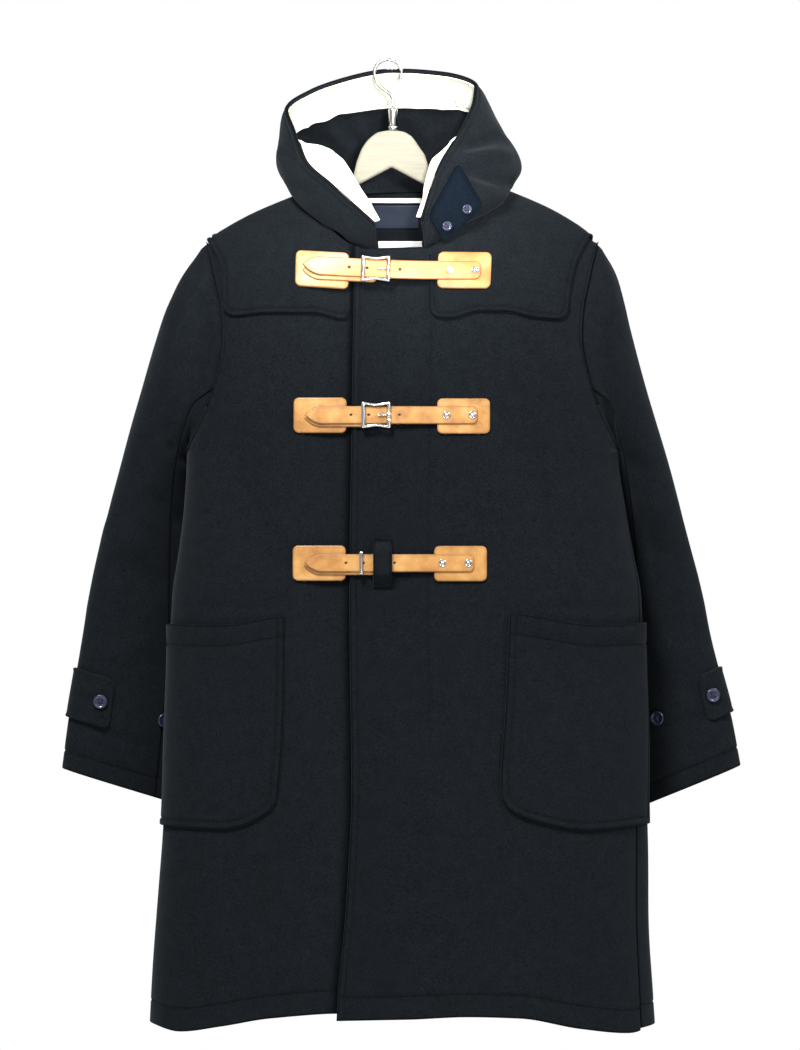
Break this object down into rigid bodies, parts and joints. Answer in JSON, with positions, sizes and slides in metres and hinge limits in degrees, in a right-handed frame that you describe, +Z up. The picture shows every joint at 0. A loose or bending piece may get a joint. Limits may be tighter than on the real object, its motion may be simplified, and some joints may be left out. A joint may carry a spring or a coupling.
{
  "type": "duffle coat on a wooden hanger",
  "caption": "Hooded wool duffle coat with leather strap and buckle fastenings and patch pockets, hanging on a wooden hanger.",
  "frame": {"origin": "inside the top of the hanger's hook, where it rests on its rail", "axes": "+Z up, +X to the viewer's right, +Y from the coat's front to its back"},
  "size_m": [0.819, 0.2318, 1.1698],
  "materials": {
    "wool": "matte melton wool with a short nap",
    "tab_cloth": "matte, lighter navy",
    "facing": "matte cream twill",
    "leather": "satin, tan",
    "metal": "polished",
    "button": "satin, dark blue",
    "label": "matte white",
    "wood": "clear satin lacquer"
  },
  "bodies": {
    "root": {"hanger_board": "wood", "hanger_ferrule": "metal", "hanger_hook": "metal", "front_left": "wool", "front_right": "wool", "back": "wool", "yoke_back": "wool", "keeper_loop": "wool", "sleeve_top_left": "wool", "sleeve_under_left": "wool", "yoke_front_left": "wool", "pocket_left": "wool", "cuff_strap_left": "wool", "hood_left": "wool", "cuff_button_left_1": "button", "cuff_button_left_2": "button", "sleeve_top_right": "wool", "sleeve_under_right": "wool", "yoke_front_right": "wool", "pocket_right": "wool", "cuff_strap_right": "wool", "hood_right": "wool", "cuff_button_right_1": "button", "cuff_button_right_2": "button", "hood_facing": "facing", "neck_tape": "facing", "throat_tab": "tab_cloth", "neck_label": "tab_cloth", "size_tag": "label", "tab_button_1": "button", "tab_button_2": "button", "patch_1_left": "leather", "patch_1_right": "leather", "strap_1_short": "leather", "strap_1_long": "leather", "buckle_1_frame": "metal", "buckle_1_prong": "metal", "rivet_1_1": "metal", "rivet_1_2": "metal", "patch_2_left": "leather", "patch_2_right": "leather", "strap_2_short": "leather", "strap_2_long": "leather", "buckle_2_frame": "metal", "buckle_2_prong": "metal", "rivet_2_1": "metal", "rivet_2_2": "metal", "patch_3_left": "leather", "patch_3_right": "leather", "strap_3_short": "leather", "strap_3_long": "leather", "buckle_3_frame": "metal", "buckle_3_prong": "metal", "rivet_3_1": "metal", "rivet_3_2": "metal"}
  },
  "joints": []
}
